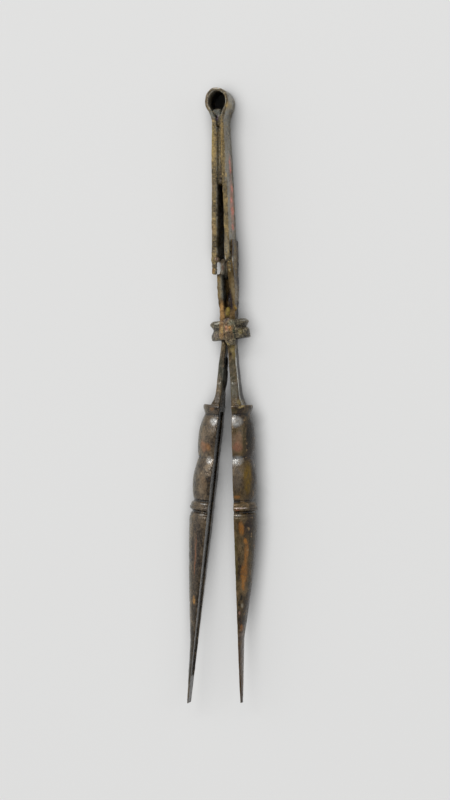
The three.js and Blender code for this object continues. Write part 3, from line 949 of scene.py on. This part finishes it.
mark(ring, "groove", in_groove)
ring_patches = [
    spot(228.5, 330, 2.3, 3.4, (114, 90, 60), 0.85),
    spot(222.0, 330, 0.7, 3.4, (138, 104, 62), 0.9),
    spot(225.3, 334, 0.15, 2.0, (44, 36, 26), 0.85, 8),
    spot(232.6, 336, 0.2, 1.5, (46, 42, 34), 0.85, -12),
    spot(226.3, 323, 0.2, 0.9, (50, 40, 32), 0.8, 20),
    spot(235.5, 331, 0.35, 3.0, (44, 50, 40), 0.95),
    spot(227.0, 320, 0.5, 0.8, (60, 50, 62), 0.9),
    spot(230.0, 336, 0.8, 0.8, (66, 56, 48), 0.9),
    spot(214.5, 335, 1.2, 1.0, (84, 78, 78), 0.6),
    spot(222.5, 330, 0.5, 0.9, (162, 136, 84), 0.9),
    spot(223, 321.5, 0.5, 0.25, (92, 64, 44), 0.9),
    spot(223, 324.5, 0.5, 0.25, (96, 66, 44), 0.9),
    spot(232, 323, 0.9, 0.8, (104, 106, 90), 0.8),
    spot(234.5, 331.5, 0.3, 0.6, (48, 62, 44), 0.85),
    spot(227.5, 329, 0.45, 1.0, (168, 118, 92), 0.85),
    spot(231, 328.5, 0.4, 0.8, (160, 112, 60), 0.9),
    spot(230, 333.2, 0.4, 0.35, (52, 38, 26), 0.9),
    spot(240.5, 331, 0.7, 0.9, (112, 100, 58), 0.85, 30),
    spot(230, 312, 0.9, 1.2, (150, 128, 66), 0.8),
    spot(229, 318, 0.4, 0.4, (84, 70, 84), 0.7),
    # Painted highlights on the ring's upper flange
    spot(217.5, 323.7, 0.9, 0.3, (176, 174, 164), 0.85, 8),
    spot(243.5, 320, 1.0, 0.22, (150, 148, 138), 0.8, 8),
    # Painted shade under the ring's upper flange, in the groove
    spot(243, 323.5, 1.1, 0.3, (44, 42, 36), 0.85, 20),
    spot(214.5, 329, 0.7, 0.28, (48, 46, 40), 0.8, 8),
    spot(216, 336, 0.9, 0.7, (104, 92, 84), 0.7),
    spot(228, 345, 0.8, 0.7, (138, 122, 80), 0.8),
    spot(229.5, 340, 0.12, 1.0, (40, 32, 24), 0.8, -25),
]
ring_bronze = bronze(
    "ring_bronze", dark=(50, 46, 36), middle=(86, 80, 66), light=(126, 116, 94), shine=0.3, seed=0.23,
    areas=[("groove", (26, 25, 21), 0.9)], patches=ring_patches,
)
dress(ring, ring_bronze)
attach(ring, "ring")
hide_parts("sliding_ring")

# FLOOR, LIGHT AND CAMERA
# A pale plain table under a wide soft lamp, with a weaker one at each side and a grey sky.
# The camera looks down from a little to the right, as in the photograph.

bpy.ops.object.select_all(action="DESELECT")
bpy.ops.mesh.primitive_plane_add(size=6, location=(0, 0, 0))
floor = bpy.context.object
floor.name = "floor"
paper = bpy.data.materials.new("pale_paper")
paper.use_nodes = True
paper_tree = paper.node_tree
paper_grey = (0.72, 0.72, 0.715, 1)
paper_shader = paper_tree.nodes["Principled BSDF"]
fill(paper_shader.inputs["Base Color"], paper_grey)
fill(paper_shader.inputs["Roughness"], 0.9)
fill(paper_shader.inputs["Specular IOR Level"], 0.0)
# The paper glows evenly pale for camera and glossy rays; the glow fades where the object is near, a
# painted shade close to it
paper_glow = node(paper_tree, "ShaderNodeEmission")
fill(paper_glow.inputs["Color"], paper_grey)
shadow_reach = 6
openness = node(paper_tree, "ShaderNodeAmbientOcclusion", samples=16)
fill(openness.inputs["Distance"], shadow_reach * MM)
fill(paper_glow.inputs["Strength"], span(paper_tree, openness.outputs["AO"], 0.3, 0.95))
light_path = node(paper_tree, "ShaderNodeLightPath").outputs
seen = combine(paper_tree, "MAXIMUM", light_path["Is Camera Ray"], light_path["Is Glossy Ray"])
glow_share = 0.74
soft_shadow = node(paper_tree, "ShaderNodeMixShader")
fill(soft_shadow.inputs[0], combine(paper_tree, "MULTIPLY", seen, glow_share))
fill(soft_shadow.inputs[1], paper_shader.outputs["BSDF"])
fill(soft_shadow.inputs[2], paper_glow.outputs["Emission"])
fill(paper_tree.nodes["Material Output"].inputs["Surface"], soft_shadow.outputs["Shader"])
dress(floor, paper)


def soft_lamp(name, place, width, height, power):
    bpy.ops.object.light_add(type="AREA", location=place)
    lamp = bpy.context.object
    lamp.name = name
    lamp.data.shape = "RECTANGLE"
    lamp.data.size = width
    lamp.data.size_y = height
    lamp.data.energy = power
    lamp.rotation_euler = (-Vector(place)).to_track_quat("-Z", "Y").to_euler()


soft_lamp("top_lamp", (-0.21, 0.66, 1.12), width=1.1, height=0.2, power=10.0)
soft_lamp("left_lamp", (-1.1, 0.5, 1.0), width=0.7, height=0.7, power=2.0)
soft_lamp("right_lamp", (1.0, 0.3, 1.1), width=0.7, height=0.7, power=2.2)
world = bpy.data.worlds.new("studio")
bpy.context.scene.world = world
world.use_nodes = True
sky_tree = world.node_tree
sky = sky_tree.nodes["Background"]
direction = node(sky_tree, "ShaderNodeSeparateXYZ")
fill(direction.inputs[0], node(sky_tree, "ShaderNodeTexCoord").outputs["Generated"])
by_height = span(sky_tree, direction.outputs["Z"], low=0.3, high=1.0, out_low=0.95, out_high=0.3)
by_side = span(sky_tree, direction.outputs["X"], low=-0.8, high=0.8, out_low=1.3, out_high=0.6)
fill(sky.inputs["Strength"], combine(sky_tree, "MULTIPLY", by_height, by_side))
fill(sky.inputs["Color"], (1, 1, 1, 1))

bpy.ops.object.camera_add(
    location=look_at + Vector((math.sin(tilt), 0, math.cos(tilt))) * distance * MM,
    rotation=(0, tilt, 0),
)
camera = bpy.context.object
camera.data.sensor_fit = "VERTICAL"
camera.data.sensor_height = 24
camera.data.lens = camera.data.sensor_height * focal_pixels / pixels_down
camera.data.clip_start = 0.01
bpy.context.scene.camera = camera
bpy.context.scene.view_settings.view_transform = "Standard"
